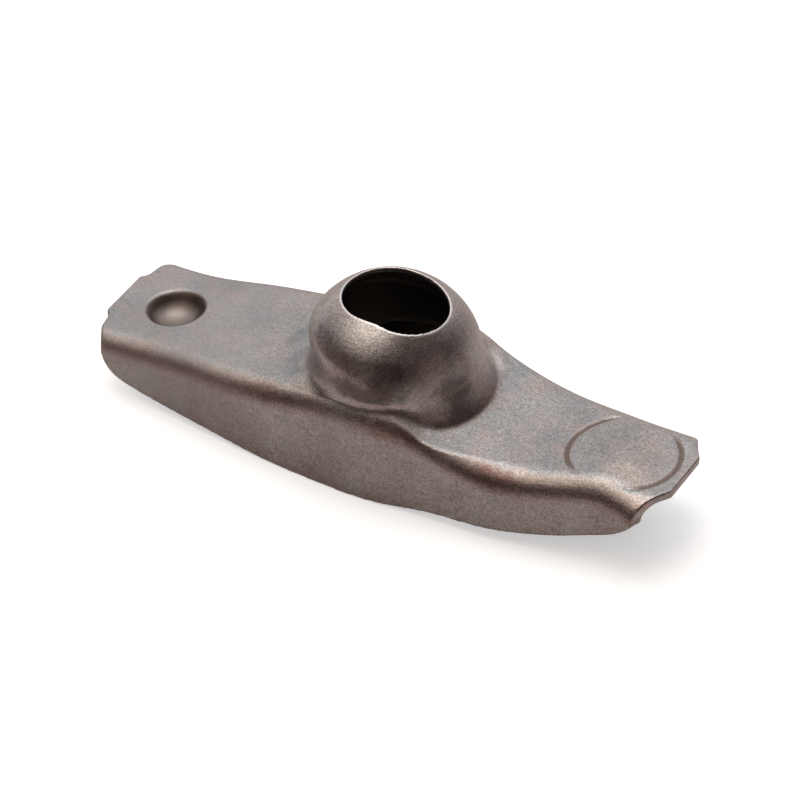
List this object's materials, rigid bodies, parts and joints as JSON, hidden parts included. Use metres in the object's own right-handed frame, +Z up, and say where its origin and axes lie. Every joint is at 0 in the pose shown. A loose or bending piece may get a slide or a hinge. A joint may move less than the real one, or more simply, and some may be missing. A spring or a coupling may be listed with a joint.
{
  "type": "rocker arm",
  "caption": "Pressed-steel rocker arm: open channel with flanges, domed ball seat with a stud slot, pushrod cup at one end and a rounded valve pad at the other.",
  "frame": {"origin": "on the pivot axis, in the plane that the flange edges rest on", "axes": "+X from the pivot to the valve pad, +Z up through the crown of the ball-seat dome, towards the cylinder head in use; symmetric about the XZ plane"},
  "size_m": [0.0613, 0.0184, 0.0174],
  "materials": {
    "steel": "tumbled and hardened steel, grey with a faint brown tint"
  },
  "bodies": {
    "root": {"rocker_arm": "steel"}
  },
  "joints": []
}
